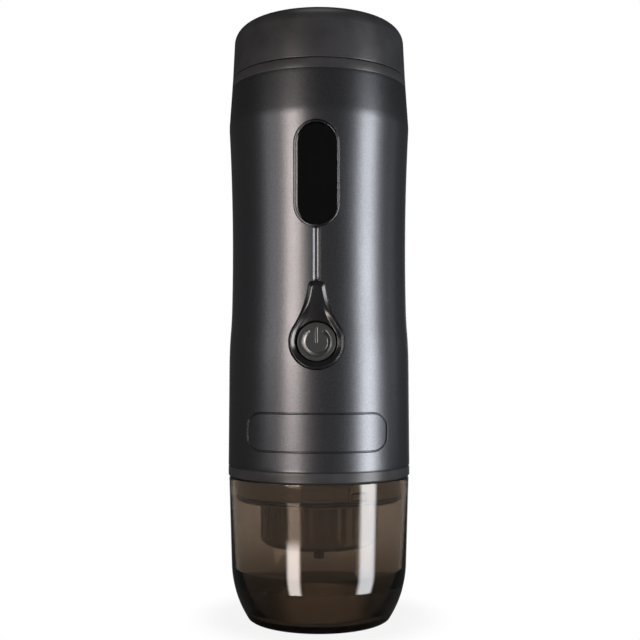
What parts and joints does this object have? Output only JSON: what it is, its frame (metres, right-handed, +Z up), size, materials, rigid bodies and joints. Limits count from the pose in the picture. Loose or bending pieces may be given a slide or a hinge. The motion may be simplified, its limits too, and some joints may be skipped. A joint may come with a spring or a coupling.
{
  "type": "portable electric espresso maker",
  "caption": "Slim hand-held espresso maker: tank cap on top, hourglass grip with window and teardrop button, clear smoke cup below.",
  "frame": {"origin": "centre of the cup's foot, on the surface that it stands on", "axes": "+Z up along the body towards the cap; the button and window face -Y, the charging port +Y"},
  "size_m": [0.0722, 0.0726, 0.235],
  "materials": {
    "housing_paint": "satin metallic grey, fine moulded grain",
    "black_satin": "satin black moulded plastic",
    "black_gloss": "gloss black moulded plastic",
    "smoke_clear": "clear smoke-brown moulded copolyester",
    "lens_smoke": "dark smoke lens",
    "tank_smoke": "grey clear moulded copolyester",
    "black_inner": "moulded black nylon",
    "silicone_dark": "matt dark silicone",
    "silicone_clear": "milky silicone hose",
    "stainless": "stamped stainless steel",
    "alloy": "cast aluminium",
    "brass": "sintered brass",
    "iron_core": "laminated iron with copper winding",
    "cell_wrap": "shrink sleeve",
    "board_green": "solder mask",
    "component_black": "moulded component cases"
  },
  "bodies": {
    "main": {"housing": "housing_paint", "rim_ring": "black_satin", "water_tank": "tank_smoke", "inlet_filter": "stainless", "window_lens": "lens_smoke", "window_bezel": "black_gloss", "button_bezel": "black_gloss", "lower_collar": "black_satin", "brew_head": "black_inner", "neck_o_ring": "silicone_dark", "brew_bell": "black_inner", "bell_seal": "silicone_dark", "needle_plate": "stainless", "heater_block": "alloy", "thermal_cutout": "component_black", "chassis": "black_inner", "battery_cells": "cell_wrap", "battery_tabs": "stainless", "main_board": "board_green", "board_parts": "component_black", "tact_switch": "component_black", "usb_port": "stainless", "usb_board": "board_green", "pump_block": "black_inner", "pump_cover": "black_inner", "crank_bush": "brass", "motor_mount": "stainless", "motor_can": "stainless", "motor_magnet": "iron_core", "motor_end_cap": "black_inner", "motor_bushes": "brass", "inlet_hose": "silicone_clear", "pressure_hose": "silicone_clear"},
    "cup_seal": {"cup_gasket": "silicone_dark"},
    "cup": {"cup": "smoke_clear"},
    "holder_seal": {"holder_gasket": "silicone_dark"},
    "holder": {"capsule_holder": "black_inner", "pyramid_plate": "stainless", "spout": "black_inner"},
    "cap_seal": {"cap_gasket": "silicone_dark"},
    "cap": {"cap_shell": "black_satin", "cap_liner": "black_inner", "vent_valve": "silicone_dark"},
    "button": {"power_button": "black_satin", "switch_plunger": "component_black"},
    "flap": {"port_flap": "silicone_dark"},
    "rotor": {"motor_rotor": "iron_core", "pinion_gear": "brass"},
    "crank": {"crank_gear": "black_inner"}
  },
  "joints": [
    {"name": "cup_pull", "type": "slide", "parent": "main", "child": "cup_seal", "axis": [0, 0, -1], "range_m": [0, 0.065]},
    {"name": "cup_turn", "type": "hinge", "parent": "cup_seal", "child": "cup", "pos_m": [0, 0, 0.0556], "axis": [0, 0, -1], "range_deg": [0, 90]},
    {"name": "holder_drop", "type": "slide", "parent": "main", "child": "holder_seal", "axis": [0, 0, -1], "range_m": [0, 0.016]},
    {"name": "holder_turn", "type": "hinge", "parent": "holder_seal", "child": "holder", "pos_m": [0, 0, 0.0562], "axis": [0, 0, -1], "range_deg": [0, 60]},
    {"name": "cap_lift", "type": "slide", "parent": "main", "child": "cap_seal", "axis": [0, 0, 1], "range_m": [0, 0.03]},
    {"name": "cap_turn", "type": "hinge", "parent": "cap_seal", "child": "cap", "pos_m": [0, 0, 0.2232], "axis": [0, 0, 1], "range_deg": [0, 180]},
    {"name": "button_press", "type": "slide", "parent": "main", "child": "button", "axis": [0, 1, 0], "range_m": [0, 0.0008], "stiffness_N_per_m": 1500, "springref_m": -0.0005},
    {"name": "flap_swing", "type": "hinge", "parent": "main", "child": "flap", "pos_m": [0, 0.03615, 0.0877], "axis": [1, 0, 0], "range_deg": [0, 110]},
    {"name": "rotor_spin", "type": "hinge", "parent": "main", "child": "rotor", "pos_m": [0, 0.0192, 0.105], "axis": [0, 0, 1], "continuous": true},
    {"name": "crank_spin", "type": "hinge", "parent": "main", "child": "crank", "pos_m": [0, 0.00708, 0.105], "axis": [0, 0, 1], "continuous": true}
  ],
  "couplings": [
    {"joint": "crank_spin", "follows": "rotor_spin", "ratio": -0.33333}
  ]
}
